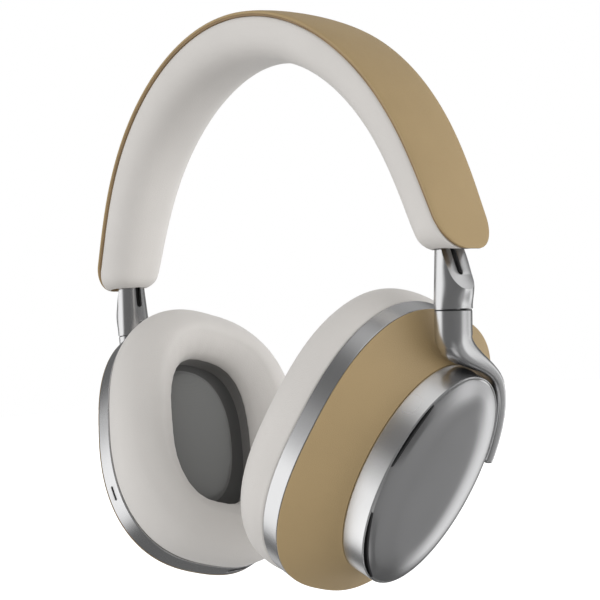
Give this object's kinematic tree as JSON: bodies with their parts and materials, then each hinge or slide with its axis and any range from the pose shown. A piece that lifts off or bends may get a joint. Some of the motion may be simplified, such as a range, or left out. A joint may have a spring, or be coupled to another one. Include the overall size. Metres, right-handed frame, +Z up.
{
  "type": "over-ear headphones",
  "caption": "Wireless over-ear headphones with a padded arch headband, sliding arms, swivelling one-sided yokes and oval tilting ear cups.",
  "frame": {"origin": "middle of the underside of the headband cushion, where the head touches it", "axes": "+Z up through the crown of the headband, +X towards the wearer's left ear, -Y the way the wearer faces"},
  "size_m": [0.1856, 0.0833, 0.1962],
  "materials": {
    "tan_leather": "fine-grained matte leather",
    "grey_leather": "soft matte leather over foam",
    "silver_metal": "satin die-cast aluminium",
    "silver_plate": "satin anodised aluminium",
    "button_metal": "satin aluminium",
    "polished_steel": "polished steel",
    "spring_steel": "tempered spring steel",
    "black_plastic": "moulded matte plastic",
    "dark_mesh": "dark acoustic cloth",
    "driver_cone": "pressed carbon-fibre cone",
    "circuit_board": "green solder mask",
    "battery_foil": "foil pouch",
    "cable_rubber": "thin rubber jacket"
  },
  "bodies": {
    "headband": {"headband_cover": "tan_leather", "headband_cushion": "grey_leather", "headband_spring": "spring_steel", "headband_frame": "black_plastic", "left_slider_guide": "black_plastic", "right_slider_guide": "black_plastic"},
    "left_slider": {"left_slider_arm": "silver_metal", "left_slider_rail": "spring_steel", "left_arm_screw": "polished_steel", "left_arm_cable": "cable_rubber", "left_swivel_pin": "polished_steel"},
    "left_yoke": {"left_yoke": "silver_metal"},
    "left_cup": {"left_ear_cushion": "grey_leather", "left_inner_ring": "silver_metal", "left_cup_shell": "tan_leather", "left_outer_ring": "silver_metal", "left_outer_plate": "silver_plate", "left_cushion_plate": "black_plastic", "left_ear_mesh": "dark_mesh", "left_baffle": "black_plastic", "left_driver_frame": "black_plastic", "left_driver_cone": "driver_cone", "left_circuit_board": "circuit_board", "left_tilt_pin": "polished_steel"},
    "right_slider": {"right_slider_arm": "silver_metal", "right_slider_rail": "spring_steel", "right_arm_screw": "polished_steel", "right_arm_cable": "cable_rubber", "right_swivel_pin": "polished_steel"},
    "right_yoke": {"right_yoke": "silver_metal"},
    "right_cup": {"right_ear_cushion": "grey_leather", "right_inner_ring": "silver_metal", "right_cup_shell": "tan_leather", "right_outer_ring": "silver_metal", "right_outer_plate": "silver_plate", "right_cushion_plate": "black_plastic", "right_ear_mesh": "dark_mesh", "right_baffle": "black_plastic", "right_driver_frame": "black_plastic", "right_driver_cone": "driver_cone", "right_circuit_board": "circuit_board", "right_tilt_pin": "polished_steel", "charging_port": "polished_steel", "battery": "battery_foil"},
    "action_button": {"action_button": "button_metal"},
    "volume_up_button": {"volume_up_button": "button_metal"},
    "play_button": {"play_button": "button_metal"},
    "volume_down_button": {"volume_down_button": "button_metal"},
    "power_slider": {"power_slider": "button_metal"}
  },
  "joints": [
    {"name": "left_slide", "type": "slide", "parent": "headband", "child": "left_slider", "axis": [0.4067, 0, -0.9135], "range_m": [0, 0.024]},
    {"name": "left_swivel", "type": "hinge", "parent": "left_slider", "child": "left_yoke", "pos_m": [0.0832, 0, -0.091], "axis": [0.0624, 0, 0.9981], "range_deg": [-90, 5]},
    {"name": "left_tilt", "type": "hinge", "parent": "left_yoke", "child": "left_cup", "pos_m": [0.06888, 0.02771, -0.13428], "axis": [-0.0159, 0.9993, -0.0337], "range_deg": [-15, 1.5]},
    {"name": "right_slide", "type": "slide", "parent": "headband", "child": "right_slider", "axis": [-0.4067, 0, -0.9135], "range_m": [0, 0.024]},
    {"name": "right_swivel", "type": "hinge", "parent": "right_slider", "child": "right_yoke", "pos_m": [-0.0832, 0, -0.091], "axis": [-0.0624, 0, 0.9981], "range_deg": [-5, 90]},
    {"name": "right_tilt", "type": "hinge", "parent": "right_yoke", "child": "right_cup", "pos_m": [-0.06888, 0.02771, -0.13428], "axis": [0.0159, 0.9993, -0.0337], "range_deg": [-1.5, 15]},
    {"name": "action_press", "type": "slide", "parent": "left_cup", "child": "action_button", "axis": [0.1302, -0.9521, 0.2766], "range_m": [0, 0.0007], "stiffness_N_per_m": 900},
    {"name": "volume_up_press", "type": "slide", "parent": "right_cup", "child": "volume_up_button", "axis": [-0.0584, -0.9905, 0.1241], "range_m": [0, 0.0007], "stiffness_N_per_m": 900},
    {"name": "play_press", "type": "slide", "parent": "right_cup", "child": "play_button", "axis": [-0.1302, -0.9521, 0.2766], "range_m": [0, 0.0007], "stiffness_N_per_m": 900},
    {"name": "volume_down_press", "type": "slide", "parent": "right_cup", "child": "volume_down_button", "axis": [-0.198, -0.8853, 0.4208], "range_m": [0, 0.0007], "stiffness_N_per_m": 900},
    {"name": "power_slide", "type": "slide", "parent": "right_cup", "child": "power_slider", "axis": [0.2598, -0.7923, -0.552], "range_m": [-0.0012, 0.0012]}
  ]
}
